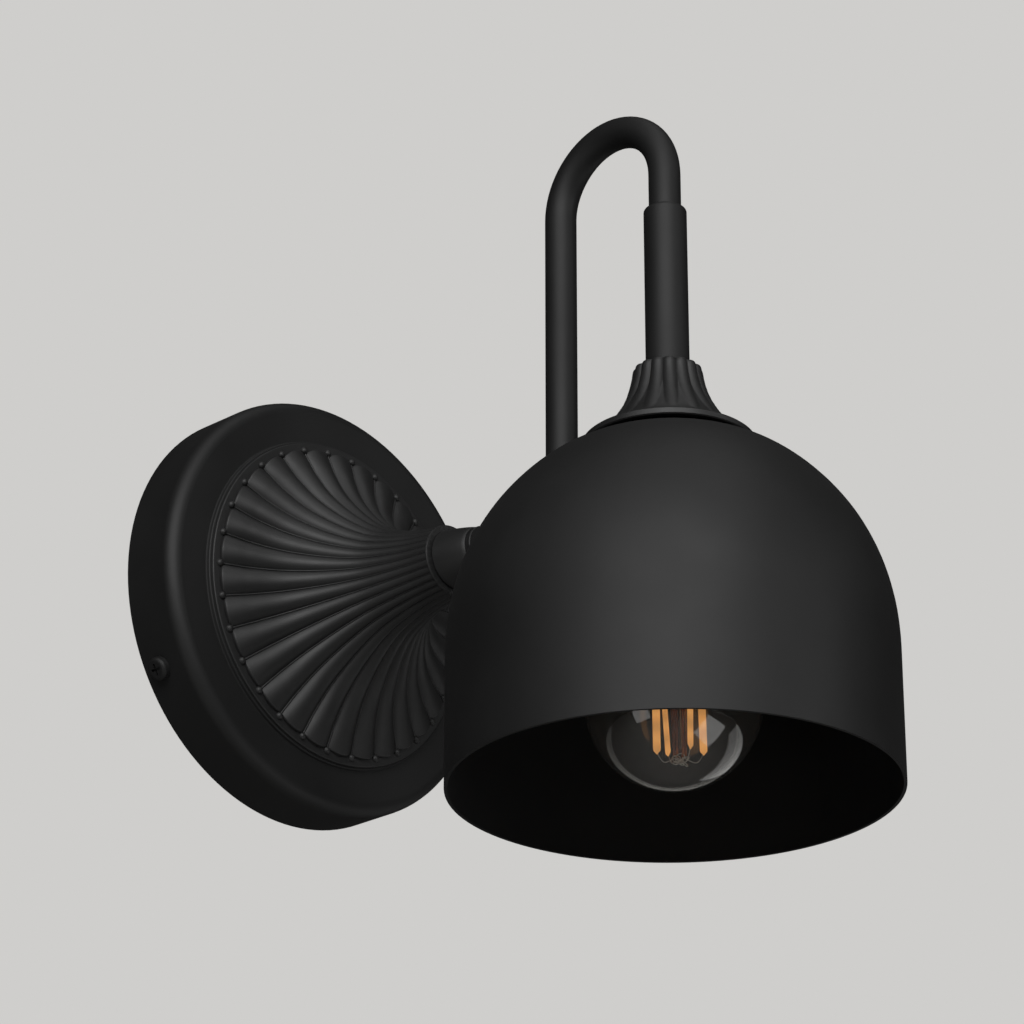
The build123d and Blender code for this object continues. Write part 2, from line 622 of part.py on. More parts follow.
def bulb_contact():
    """Solder button at the bulb's tip."""
    low, top = BULB_TIP_Z - 3.0, BULB_TIP_Z
    return LAMP * turned(
        closed_outline((0, low), (4.8, low), (4.8, top - 0.9), (3.4, top - 0.3), (1.8, top), (0, top))
    )


def bulb_driver():
    """Driver board in the screw cap, with its round capacitor."""
    board = Pos(0, 0, SHELL_TOP_Z - 9.5) * Box(2 * NECK_R - 0.2, 1.2, 14.0)
    capacitor = Pos(-3.5, 2.8, SHELL_TOP_Z - 9.5) * Cylinder(2.5, 9.0)
    coil = Pos(4.0, 2.1, SHELL_TOP_Z - 8.0) * Box(5.0, 3.0, 5.0)
    return LAMP * (board + capacitor + coil)


def bulb_stem():
    """Clear glass stem: a flare sealed to the neck, a slim rod and a round end bead."""
    bead_top = STEM_END_Z + math.sqrt(BEAD_GLASS_R**2 - STEM_R**2)
    seal_r = NECK_R - GLASS_WALL - FIT
    return LAMP * turned(
        outline((0, FLARE_Z), (seal_r, FLARE_Z), (seal_r, FLARE_Z - 1.2)),
        smooth((seal_r, FLARE_Z - 1.2), (5.4, FLARE_Z - 5.0), (STEM_R, FLARE_Z - 14.0),
               start=(-1, -0.3), end=(0, -1)),
        outline((STEM_R, FLARE_Z - 14.0), (STEM_R, bead_top)),
        ThreePointArc((STEM_R, 0, bead_top), (BEAD_GLASS_R, 0, STEM_END_Z),
                      (0, 0, STEM_END_Z - BEAD_GLASS_R)),
        outline((0, STEM_END_Z - BEAD_GLASS_R), (0, FLARE_Z)),
    )


def filament_ends(index):
    """Top and bottom of one filament strip about the bulb's axis."""
    angle = math.radians(20 + index * 360 / FILAMENTS)
    top_r, low_r = 10.5, 7.6
    drop = math.sqrt(FILAMENT_LENGTH**2 - (top_r - low_r) ** 2)
    top = Vector(top_r * math.cos(angle), top_r * math.sin(angle), FILAMENT_LOW_Z + drop)
    low = Vector(low_r * math.cos(angle), low_r * math.sin(angle), FILAMENT_LOW_Z)
    return top, low


def bulb_filaments():
    """Four long strips that lean in towards the stem's end, with tapered tips."""
    strips = []
    for index in range(FILAMENTS):
        top, low = filament_ends(index)
        length = (top - low).length
        strip = turned(closed_outline((0, 0), (0.4, 0), (1.0, 2.0), (1.0, length - 2.0), (0.4, length), (0, length)))
        strips.append(Plane(low, z_dir=top - low).location * strip)
    return LAMP * Compound(strips)


def bulb_supports():
    """Wires that hold the strips: short ones at the stem's bead, long ones back to its flare."""
    wires = []
    for index in range(FILAMENTS):
        top, low = filament_ends(index)
        side = Vector(low.X, low.Y, 0).normalized()
        bead_side = side * (BEAD_GLASS_R - 0.4) + Vector(0, 0, STEM_END_Z + 0.4)
        flare_side = side * 6.6 + Vector(0, 0, FLARE_Z - 3.2)
        along = (top - low).normalized()
        wires.append(rod(0.3, bead_side, low - along * 0.1))
        wires.append(rod(0.3, flare_side, top + along * 0.1))
    return LAMP * Compound(wires)


# ---- write every piece -------------------------------------------------------------------------
PIECES = {
    "wall_bracket": wall_bracket,
    "earth_screw": earth_screw,
    "terminal_block": terminal_block,
    "terminal_screws": terminal_screws,
    "terminal_fixing": terminal_fixing,
    "canopy": canopy,
    "canopy_screws": canopy_screws,
    "trumpet": trumpet,
    "tie_nipple": tie_nipple,
    "tie_washer": tie_washer,
    "tie_nut": tie_nut,
    "neck_collar": neck_collar,
    "lock_ring": lock_ring,
    "arm_ferrule": arm_ferrule,
    "arm_tube": arm_tube,
    "arm_sleeve": arm_sleeve,
    "live_lead": lambda: supply_lead(-1),
    "neutral_lead": lambda: supply_lead(1),
    "earth_lead": earth_lead,
    "lamp_nipple": lamp_nipple,
    "shade_cap": shade_cap,
    "cap_gasket": cap_gasket,
    "shade": shade,
    "shade_washer": shade_washer,
    "shade_nut": shade_nut,
    "holder_dome": holder_dome,
    "holder_skirt": holder_skirt,
    "holder_insert": holder_insert,
    "holder_shell": holder_shell,
    "holder_contact": holder_contact,
    "holder_screws": holder_screws,
    "bulb_glass": bulb_glass,
    "bulb_cap": bulb_cap,
    "bulb_insulator": bulb_insulator,
    "bulb_contact": bulb_contact,
    "bulb_driver": bulb_driver,
    "bulb_stem": bulb_stem,
    "bulb_filaments": bulb_filaments,
    "bulb_supports": bulb_supports,
}

os.makedirs("parts", exist_ok=True)
for name, build in PIECES.items():
    piece = build()
    export_step(piece, f"parts/{name}.step")
    print(name, "solids", len(piece.solids()), "volume", round(piece.volume))
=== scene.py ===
"""Looks for a hanging pendant wall sconce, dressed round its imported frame.

Sizes are in metres, unless a name or a comment says millimetres.
"""

import logging
from bisect import bisect
from collections.abc import Callable
from dataclasses import dataclass
from enum import Enum
from math import copysign, cos, pi, radians, sin, sqrt

import bmesh
import bpy
from mathutils import Matrix, Vector


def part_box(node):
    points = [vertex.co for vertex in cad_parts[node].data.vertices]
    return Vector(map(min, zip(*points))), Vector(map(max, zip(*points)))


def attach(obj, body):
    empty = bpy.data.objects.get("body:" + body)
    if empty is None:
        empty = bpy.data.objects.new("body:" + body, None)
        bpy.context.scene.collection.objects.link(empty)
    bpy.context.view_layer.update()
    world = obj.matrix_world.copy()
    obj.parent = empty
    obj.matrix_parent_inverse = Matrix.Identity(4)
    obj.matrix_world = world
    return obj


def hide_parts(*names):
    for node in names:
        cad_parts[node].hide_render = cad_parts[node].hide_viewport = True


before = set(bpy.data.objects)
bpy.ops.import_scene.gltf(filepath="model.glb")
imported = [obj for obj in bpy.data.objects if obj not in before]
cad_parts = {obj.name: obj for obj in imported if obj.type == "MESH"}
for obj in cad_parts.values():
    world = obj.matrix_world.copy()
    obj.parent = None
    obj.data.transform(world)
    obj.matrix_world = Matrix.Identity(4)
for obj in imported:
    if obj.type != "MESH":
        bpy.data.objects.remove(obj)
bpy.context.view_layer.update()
MM = 0.001
LAMP_REACH_MM = 199.7
SHARP_DEG = 38
RIM_STEPS = 240
SMEAR_SPREAD = 2.2
LEAST_ROUGHNESS = 0.02
RELIEF_STRENGTH = 0.6
WAVE_RADIANS = 20
log = logging.getLogger("wall_sconce")

Colour = tuple[float, float, float, float]
Point = tuple[float, float, float]
Pair = tuple[float, float]
Shares = tuple[float, ...]
Tree = bpy.types.NodeTree
Socket = bpy.types.NodeSocket
Mesh = bmesh.types.BMesh
Ring = Callable[[float], Vector]


# ---- material helpers ----
def srgb(code: str, alpha: float = 1.0) -> Colour:
    """Turns an sRGB hex colour into a linear one.

    Args:
        code: the colour as #rrggbb.
        alpha: its opacity.

    Returns:
        Red, green, blue and alpha, from 0 to 1, with the colour linear.
    """
    parts = [int(code[i : i + 2], 16) / 255 for i in (1, 3, 5)]
    linear = [c / 12.92 if c <= 0.04045 else ((c + 0.055) / 1.055) ** 2.4 for c in parts]
    return (linear[0], linear[1], linear[2], alpha)


def per_metre(size_mm: float) -> float:
    """The texture scale at which one pattern cell is size_mm wide."""
    return 1 / (size_mm * MM)


def add_node(
    tree: Tree, kind: str, inputs: dict[str | int, object] | None = None, **settings: object
) -> bpy.types.Node:
    """Adds a node, applies its settings, and sets or links its inputs.

    Args:
        tree: the node tree that gets the node.
        kind: the node's type name.
        inputs: socket name or number to a value, or to the output socket that feeds it.
        **settings: the node's own properties.

    Returns:
        The new node.
    """
    node = tree.nodes.new(kind)
    for name, value in settings.items():
        setattr(node, name, value)
    for socket, value in (inputs or {}).items():
        if isinstance(value, Socket):
            tree.links.new(value, node.inputs[socket])
        else:
            node.inputs[socket].default_value = value
    return node


class Grain(Enum):
    """How a surface's fine relief was made."""

    PEEL = "the soft orange peel of sprayed or powder paint"
    TURNED = "fine rings from spinning or turning, about an upright axis"
    CAST = "the sandy skin of a casting, a moulding or fired clay"
    DRAWN = "fine lines along the height, from drawing or rolling"

    @property
    def squeeze(self) -> Point:
        """How far the pattern is drawn out along x, y and z: a small share makes long lines."""
        return {Grain.TURNED: (0.04, 0.04, 1.0), Grain.DRAWN: (1.0, 1.0, 0.03)}.get(self, (1.0, 1.0, 1.0))

    @property
    def detail(self) -> float:
        """How rough the pattern is."""
        return 5.0 if self is Grain.CAST else 1.5


@dataclass(frozen=True)
class Finish:
    """One real finish. Its sizes are real millimetres, and its colours are sRGB hex values."""

    name: str
    colour: str
    roughness: float
    metallic: float = 0.0
    ior: float = 1.5
    worn: str | None = None
    mottle_mm: float = 12.0
    grain: Grain = Grain.PEEL
    grain_mm: float = 0.9
    grain_depth_mm: float = 0.01
    smudge: float = 0.05
    specular: float = 0.5

    def material(self) -> bpy.types.Material:
        """Builds this finish's material, or returns the one already made.

        Returns:
            The material, with colour, roughness and relief from its nodes.
        """
        found = bpy.data.materials.get(self.name)
        if found:
            return found
        made = bpy.data.materials.new(self.name)
        made.use_nodes = True
        tree = made.node_tree
        tree.nodes.clear()
        place = add_node(tree, "ShaderNodeTexCoord").outputs["Object"]
        surface = {
            "Base Color": self.tone(tree, place),
            "Roughness": self.sheen(tree, place),
            "Normal": self.relief(tree, place),
            "Metallic": self.metallic,
            "Specular IOR Level": self.specular,
            "IOR": self.ior,
        }
        shader = add_node(tree, "ShaderNodeBsdfPrincipled", surface)
        self.finish_shader(tree, shader, place)
        add_node(tree, "ShaderNodeOutputMaterial", {"Surface": shader.outputs["BSDF"]})
        return made

    def tone(self, tree: Tree, place: Socket) -> Socket:
        """Mixes the colour with its worn or dusty shade in soft patches.

        Args:
            tree: the material's node tree.
            place: the texture coordinates.

        Returns:
            The colour socket.
        """
        cells = {"Vector": place, "Scale": per_metre(self.mottle_mm), "Detail": 3.0}
        patches = add_node(tree, "ShaderNodeTexNoise", cells).outputs["Fac"]
        limits = {"Value": patches, "From Min": 0.4, "From Max": 0.75}
        share = add_node(tree, "ShaderNodeMapRange", limits).outputs["Result"]
        shades = {0: share, 6: srgb(self.colour), 7: srgb(self.worn or self.colour)}
        mixed = add_node(tree, "ShaderNodeMix", shades, data_type="RGBA")
        return mixed.outputs[2]

    def sheen(self, tree: Tree, place: Socket) -> Socket:
        """Varies the roughness a little, as handling does.

        Args:
            tree: the material's node tree.
            place: the texture coordinates.

        Returns:
            The roughness socket.
        """
        cells = {"Vector": place, "Scale": per_metre(SMEAR_SPREAD * self.mottle_mm), "Detail": 4.0}
        limits = {
            "Value": add_node(tree, "ShaderNodeTexNoise", cells).outputs["Fac"],
            "From Min": 0.3,
            "From Max": 0.7,
            "To Min": max(LEAST_ROUGHNESS, self.roughness - self.smudge),
            "To Max": min(1.0, self.roughness + self.smudge),
        }
        return add_node(tree, "ShaderNodeMapRange", limits).outputs["Result"]

    def relief(self, tree: Tree, place: Socket) -> Socket:
        """Draws the fine relief of the way the surface was made.

        Args:
            tree: the material's node tree.
            place: the texture coordinates.

        Returns:
            The normal socket.
        """
        pull = {0: place, 1: self.grain.squeeze}
        drawn = add_node(tree, "ShaderNodeVectorMath", pull, operation="MULTIPLY").outputs["Vector"]
        cells = {"Vector": drawn, "Scale": per_metre(self.grain_mm), "Detail": self.grain.detail}
        height = add_node(tree, "ShaderNodeTexNoise", cells).outputs["Fac"]
        depth = {"Height": height, "Strength": RELIEF_STRENGTH, "Distance": self.grain_depth_mm * MM}
        return add_node(tree, "ShaderNodeBump", depth).outputs["Normal"]

    def finish_shader(self, tree: Tree, shader: bpy.types.Node, place: Socket) -> None:
        """Lets a kind of finish set what it has of its own. A plain finish has nothing."""


@dataclass(frozen=True)
class ClearGlass(Finish):
    """Blown glass: light passes and bends, and its skin mirrors the studio's lamps."""

    clear: float = 0.985

    def finish_shader(self, tree: Tree, shader: bpy.types.Node, place: Socket) -> None:
        """Lets the light through."""
        shader.inputs["Transmission Weight"].default_value = self.clear


@dataclass(frozen=True)
class GlowingStrip(Finish):
    """Silicone with phosphor over a row of chips: it glows, in faint broad bands."""

    glow: str = "#ff9a3c"
    strength: float = 1.0
    # The bands' period, over two pi.
    band_mm: float = 1.4
    swing: Pair = (0.8, 1.15)

    def finish_shader(self, tree: Tree, shader: bpy.types.Node, place: Socket) -> None:
        """Adds the glow and its bands.

        Args:
            tree: the material's node tree.
            shader: the surface shader.
            place: the texture coordinates.
        """
        waves = {"Vector": place, "Scale": per_metre(self.band_mm) / WAVE_RADIANS, "Distortion": 0.3}
        bands = add_node(tree, "ShaderNodeTexWave", waves, bands_direction="Z").outputs["Fac"]
        low, high = self.swing
        limits = {"Value": bands, "To Min": low * self.strength, "To Max": high * self.strength}
        level = add_node(tree, "ShaderNodeMapRange", limits).outputs["Result"]
        shader.inputs["Emission Color"].default_value = srgb(self.glow)
        tree.links.new(level, shader.inputs["Emission Strength"])


@dataclass(frozen=True)
class StagePaint(Finish):
    """Matt paint of the stage, which stays pale where the camera sees it, however dim the lamps are."""

    lift: float = 0.8

    def finish_shader(self, tree: Tree, shader: bpy.types.Node, place: Socket) -> None:
        """Adds the paleness that only the camera sees.

        Args:
            tree: the material's node tree.
            shader: the surface shader.
            place: the texture coordinates, not used here.
        """
        sight = add_node(tree, "ShaderNodeLightPath").outputs["Is Camera Ray"]
        seen = add_node(tree, "ShaderNodeMath", {0: sight, 1: self.lift}, operation="MULTIPLY")
        shader.inputs["Emission Color"].default_value = srgb(self.colour)
        tree.links.new(seen.outputs["Value"], shader.inputs["Emission Strength"])


# ---- this object's finishes ----
# Polyester powder coat on steel, baked: satin black, with a broad soft gloss and a faint orange peel.
POWDER_COAT = Finish(
    "satin_black_powder_coat", "#161616", 0.58, worn="#1a1a1a", mottle_mm=30, grain_mm=1.1,
    grain_depth_mm=0.012, specular=0.4,
)
# The same powder on the zinc castings, where it runs thinner on the ridges and shows them sharper.
CAST_POWDER_COAT = Finish(
    "black_powder_coat_on_casting", "#151515", 0.55, worn="#1a1a1a", mottle_mm=9, grain_mm=0.7,
    grain_depth_mm=0.014, specular=0.6,
)
# Bright zinc plate on pressed steel: cool grey, blotchy where the bath passivated it.
ZINC_PLATE = Finish(
    "zinc_plated_steel", "#a9abac", 0.34, 1.0, worn="#8c9094", mottle_mm=7, grain=Grain.CAST,
    grain_mm=0.6, smudge=0.1,
)
# Yellow-passivated steel thread: straw with a green-pink cast.
YELLOW_ZINC = Finish(
    "yellow_passivated_steel", "#b8a26a", 0.32, 1.0, worn="#a08d62", mottle_mm=5, grain=Grain.TURNED,
    grain_mm=0.5, smudge=0.08,
)
# Plain rolled brass: warm, slightly tarnished.
BRASS = Finish(
    "rolled_brass", "#c9a25a", 0.28, 1.0, worn="#a98243", mottle_mm=4, grain=Grain.TURNED, grain_mm=0.4,
    smudge=0.1,
)
# Phenolic moulding: deep black with a hard gloss that fine moulding marks break up.
PHENOLIC = Finish(
    "moulded_phenolic", "#141312", 0.3, ior=1.58, worn="#1b1917", mottle_mm=8, grain_mm=1.4
)
# Unglazed steatite: cream, dry, with a fine fired grain.
STEATITE = Finish(
    "fired_steatite", "#ddd6c6", 0.72, ior=1.58, worn="#cfc6b2", mottle_mm=5, grain=Grain.CAST,
    grain_mm=0.45, grain_depth_mm=0.03,
)
# Natural polyamide: milky white and waxy.
POLYAMIDE = Finish(
    "moulded_polyamide", "#d9d7cd", 0.42, ior=1.53, worn="#cbc8bb", mottle_mm=6, grain_mm=0.8
)
# Vulcanised fibre ring: dark grey, with pressed fibres.
FIBRE = Finish(
    "vulcanised_fibre", "#2a2725", 0.8, worn="#36322f", mottle_mm=2, grain=Grain.CAST, grain_mm=0.3,
    grain_depth_mm=0.03,
)
# PVC wire insulation, extruded: soft gloss, lines along the wire too fine to see.
BROWN_PVC = Finish(
    "brown_wire_insulation", "#5a341c", 0.38, ior=1.53, worn="#66401f", mottle_mm=9, grain_mm=1.0
)
BLUE_PVC = Finish(
    "blue_wire_insulation", "#27548f", 0.38, ior=1.53, worn="#2f5f9b", mottle_mm=9, grain_mm=1.0
)
GREEN_PVC = Finish(
    "green_wire_insulation", "#4d8a2c", 0.38, ior=1.53, worn="#b8a92c", mottle_mm=6, grain_mm=1.0
)
# Blown soda-lime glass, clear, with the least waviness of the blow mould.
BLOWN_GLASS = ClearGlass(
    "blown_soda_lime_glass", "#f4f3ee", 0.03, worn="#f7f6f2", mottle_mm=20, grain_mm=9.0, smudge=0.02
)
# Lead-free stem glass, pressed round the wires: clear, a little wavy.
STEM_GLASS = ClearGlass(
    "pressed_stem_glass", "#f0ece6", 0.04, ior=1.53, worn="#f4f0ea", mottle_mm=6, grain_mm=2.5,
    grain_depth_mm=0.03, smudge=0.02,
)
# Glass fused into the cap as its insulator: black and glossy.
BLACK_GLASS = Finish(
    "fused_black_glass", "#0f0f12", 0.14, ior=1.55, worn="#17171b", mottle_mm=3, grain_mm=1.6
)
# Nickel-plated cap, thread-rolled: bright, slightly yellow, with rolling lines round it.
NICKEL_PLATE = Finish(
    "nickel_plated_cap", "#b9b4a8", 0.26, 1.0, worn="#9d988c", mottle_mm=5, grain=Grain.TURNED,
    grain_mm=0.35, smudge=0.08,
)
# Tin solder dome, set from liquid: bright and lumpy.
SOLDER = Finish(
    "tin_solder", "#b6b8ba", 0.24, 1.0, worn="#9b9da0", mottle_mm=2, grain_mm=1.2, grain_depth_mm=0.08,
    smudge=0.1,
)
# Amber phosphor in silicone over the chips of a filament strip: peach, lit low.
AMBER_STRIP = GlowingStrip(
    "amber_phosphor_silicone", "#d8925a", 0.55, worn="#dba06c", mottle_mm=3, grain=Grain.CAST, grain_mm=0.5,
    glow="#d09352", strength=0.9,
)
# Copper-clad wire that glass seals to: red-brown and dull.
COPPER_CLAD = Finish(
    "copper_clad_lead_wire", "#d07c48", 0.5, 0.3, worn="#a8653c", mottle_mm=3, grain=Grain.DRAWN, grain_mm=0.3
)
# Tinned wire, spot-welded: pale and dull.
TINNED_WIRE = Finish(
    "tinned_lead_wire", "#efeee9", 0.4, 0.3, worn="#dddbd5", mottle_mm=2, grain_mm=0.6, smudge=0.1
)
# Glass-epoxy board: green lacquer.
BOARD = Finish(
    "lacquered_circuit_board", "#1f5a3a", 0.35, ior=1.54, worn="#2a6b46", mottle_mm=3, grain_mm=0.8
)


class Body(Enum):
    """The rigid bodies that new pieces ride on."""

    WALL_LIGHT = "wall_light"
    BULB = "bulb"


# ---- piece helpers ----
def coat(finish: Finish, *nodes: str) -> None:
    """Gives CAD nodes their finish.

    Args:
        finish: the finish.
        *nodes: the nodes that have it.
    """
    for node in nodes:
        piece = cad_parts[node]
        if not piece.material_slots:
            piece.data.materials.append(finish.material())
        for held in piece.material_slots:
            held.material = finish.material()
        log.info("%s: %s", node, finish.name)


def add_piece(name: str, mesh: Mesh, finish: Finish, body: Body) -> bpy.types.Object:
    """Turns a worked mesh into a new piece, dresses it and lets it ride on a body.

    Args:
        name: the piece's name.
        mesh: its worked mesh, in the row frame, which is freed.
        finish: its finish.
        body: the body that it moves with.

    Returns:
        The new object.
    """
    bmesh.ops.recalc_face_normals(mesh, faces=mesh.faces)
    made = bpy.data.meshes.new(name)
    mesh.to_mesh(made)
    mesh.free()
    made.materials.append(finish.material())
    made.shade_smooth()
    made.set_sharp_from_angle(angle=radians(SHARP_DEG))
    piece = bpy.data.objects.new(name, made)
    bpy.context.scene.collection.objects.link(piece)
    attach(piece, body.value)
    log.info("%s: %s, %d faces", name, finish.name, len(made.polygons))
    return piece


def add_casting(name: str, mesh: Mesh) -> bpy.types.Object:
    """Adds a piece of the powder-coated castings, which ride on the wall light."""
    return add_piece(name, mesh, CAST_POWDER_COAT, Body.WALL_LIGHT)


def smooth_points(points: list[Vector], steps: int) -> list[Vector]:
    """Points in short steps along a smooth curve through the given ones.

    Args:
        points: the points that it passes.
        steps: steps between two of them.

    Returns:
        The curve's points.
    """
    ends = [2 * points[0] - points[1], *points, 2 * points[-1] - points[-2]]
    line = []
    for a, b, c, d in zip(ends, ends[1:], ends[2:], ends[3:]):
        for k in range(steps):
            t = k / steps
            bend, twist = 2 * a - 5 * b + 4 * c - d, 3 * b - a - 3 * c + d
            line.append(0.5 * (2 * b + (c - a) * t + bend * t**2 + twist * t**3))
    return [*line, points[-1]]


class SectionLine:
    """A smooth line of a turned section, found by the distance along it."""

    def __init__(self, points_mm: tuple[Pair, ...], steps: int = 40) -> None:
        """Lays the line out in short steps and measures them.

        Args:
            points_mm: distances from the axis and along it.
            steps: steps between two points.
        """
        self.line = smooth_points([Vector(point) for point in points_mm], steps)
        self.reach = [0.0]
        for here, after in zip(self.line, self.line[1:]):
            self.reach.append(self.reach[-1] + (after - here).length)

    @property
    def length(self) -> float:
        """The line's whole length."""
        return self.reach[-1]

    def at(self, distance: float) -> tuple[Vector, Vector]:
        """Finds a place on the line.

        Args:
            distance: how far along the line it is.

        Returns:
            The point, and the direction square to the line and away from the axis.
        """
        last = len(self.line) - 1
        i = min(max(bisect(self.reach, distance) - 1, 0), last - 1)
        share = (distance - self.reach[i]) / (self.reach[i + 1] - self.reach[i])
        before = self.line[i + 1] - self.line[max(i - 1, 0)]
        after = self.line[min(i + 2, last)] - self.line[i]
        ahead = before.lerp(after, share).normalized()
        return self.line[i].lerp(self.line[i + 1], share), Vector((ahead.y, -ahead.x))


def about_neck(radius: float, depth: float) -> Ring:
    """The ring at a distance from the neck's axis and from the wall, in millimetres."""
    return lambda turn: Vector((radius * cos(turn), -depth, radius * sin(turn))) * MM


def about_lamp(radius: float, height: float) -> Ring:
    """The ring at a distance from the lamp's upright axis and at a height, in millimetres."""
    out = LAMP_REACH_MM
    return lambda turn: Vector((radius * cos(turn), radius * sin(turn) - out, height)) * MM


def rounded_edge(radius: float, depth: float, rounding: float, count: int) -> list[Pair]:
    """The quarter round of an outer edge, in millimetres.

    Args:
        radius: the rim's distance from the axis.
        depth: the face's distance from the wall.
        rounding: the edge's own radius.
        count: how many points it has.

    Returns:
        Distances from the axis and from the wall, from the rim to the face.
    """
    turns = [pi / 2 * k / (count - 1) for k in range(count)]
    return [(radius - rounding * (1 - cos(t)), depth - rounding * (1 - sin(t))) for t in turns]


def lathe(rings: list[Ring], segments: int = 96, first_turn: float = 0.0) -> Mesh:
    """A closed tube round an axis, whose section may change round the turn.

    Args:
        rings: each gives a point for a turn in radians; the last ring joins the first.
        segments: steps round the turn.
        first_turn: where the first step lies.

    Returns:
        The mesh.
    """
    mesh = bmesh.new()
    turns = [first_turn + 2 * pi * i / segments for i in range(segments)]
    laid = [[mesh.verts.new(ring(turn)) for turn in turns] for ring in rings]
    for here, after in zip(laid, laid[1:] + laid[:1]):
        for i in range(segments):
            j = (i + 1) % segments
            mesh.faces.new((here[i], here[j], after[j], after[i]))
    return mesh


def wires(
    paths: list[list[Vector]], radius: float, end_radius: float | None = None, sides: int = 8
) -> Mesh:
    """Round wires along smooth paths, as one mesh.

    Args:
        paths: each wire's points.
        radius: the wires' radius at their first point.
        end_radius: their radius at the last point, where they taper.
        sides: corners of a wire's section.

    Returns:
        The mesh.
    """
    mesh = bmesh.new()
    last = radius if end_radius is None else end_radius
    turns = [2 * pi * k / sides for k in range(sides)]
    for path in paths:
        rings = []
        side = Vector((0, 0, 1))
        for i, point in enumerate(path):
            ahead = (path[min(i + 1, len(path) - 1)] - path[max(i - 1, 0)]).normalized()
            side = side - side.dot(ahead) * ahead
            side = side.normalized() if side.length > 1e-6 else ahead.orthogonal().normalized()
            other = ahead.cross(side)
            thick = radius + (last - radius) * i / (len(path) - 1)
            corners = [point + thick * (cos(t) * side + sin(t) * other) for t in turns]
            rings.append([mesh.verts.new(corner) for corner in corners])
        for here, after in zip(rings, rings[1:]):
            for k in range(sides):
                m = (k + 1) % sides
                mesh.faces.new((here[k], here[m], after[m], after[k]))
        mesh.faces.new(rings[0])
        mesh.faces.new(rings[-1])
    return mesh


def flat_bar(
    mesh: Mesh, ends: tuple[Vector, Vector], facing: Vector, size: Pair, taper: float, sides: int = 16
) -> None:
    """Adds a flat bar with rounded edges and tapered ends.

    Args:
        mesh: the mesh that gets it.
        ends: its two ends.
        facing: the direction that its flat side looks in.
        size: its width and thickness.
        taper: the length of each tapered end.
        sides: corners of its section.
    """
    low, top = ends
    ahead = (top - low).normalized()
    across = ahead.cross(facing).normalized()
    through = across.cross(ahead)
    length = (top - low).length
    squareness = 0.6
    least_thickness = 0.5
    # How wide the bar is at shares of its tapered end's length.
    widths = [(0.0, 0.12), (0.35, 0.45), (0.8, 0.95), (1.1, 1.0)]
    places = [(along * taper, share) for along, share in widths]
    places += [(length - along, share) for along, share in reversed(places)]
    rings = []
    for along, share in places:
        ring = []
        for k in range(sides):
            c, d = cos(2 * pi * k / sides), sin(2 * pi * k / sides)
            wide = copysign(abs(c) ** squareness, c) * size[0] / 2 * share
            deep = copysign(abs(d) ** squareness, d) * size[1] / 2 * max(share, least_thickness)
            ring.append(mesh.verts.new(low + ahead * along + across * wide + through * deep))
        rings.append(ring)
    for here, after in zip(rings, rings[1:]):
        for k in range(sides):
            m = (k + 1) % sides
            mesh.faces.new((here[k], here[m], after[m], after[k]))
    mesh.faces.new(rings[0])
    mesh.faces.new(rings[-1])


# ---- sub-assemblies ----
@dataclass
class WallPlate:
    """Bracket, terminal block and the round canopy that hides them. Sizes are in millimetres."""

    seat_r: float = 66.0
    seat_inner_r: float = 58.0
    seat_depth: float = 26.5
    face_depth: float = 25.0
    sunk: float = 0.3
    seat_rounding: float = 0.5
    fillet_share: float = 0.3

    def build(self) -> None:
        """Adds the low round step that is pressed into the canopy's face under the casting."""
        soft, back = self.seat_rounding, self.face_depth - self.sunk
        middle = self.fillet_share * soft
        rings = [(self.seat_inner_r, back), (self.seat_r + soft, back), (self.seat_r + soft, self.face_depth)]
        rings += [(self.seat_r + middle, self.face_depth + middle), (self.seat_r, self.face_depth + soft)]
        rings += rounded_edge(self.seat_r, self.seat_depth, soft, 4)
        rings += [(self.seat_inner_r, self.seat_depth)]
        mesh = lathe([about_neck(r, d) for r, d in rings], RIM_STEPS)
        add_piece("canopy_seat", mesh, POWDER_COAT, Body.WALL_LIGHT)

    def dress(self) -> None:
        """Gives the wall-side pieces their finishes."""
        coat(ZINC_PLATE, "wall_bracket", "terminal_screws", "terminal_fixing")
        coat(BRASS, "earth_screw")
        coat(POLYAMIDE, "terminal_block")
        coat(POWDER_COAT, "canopy", "canopy_screws")
        coat(GREEN_PVC, "earth_lead")


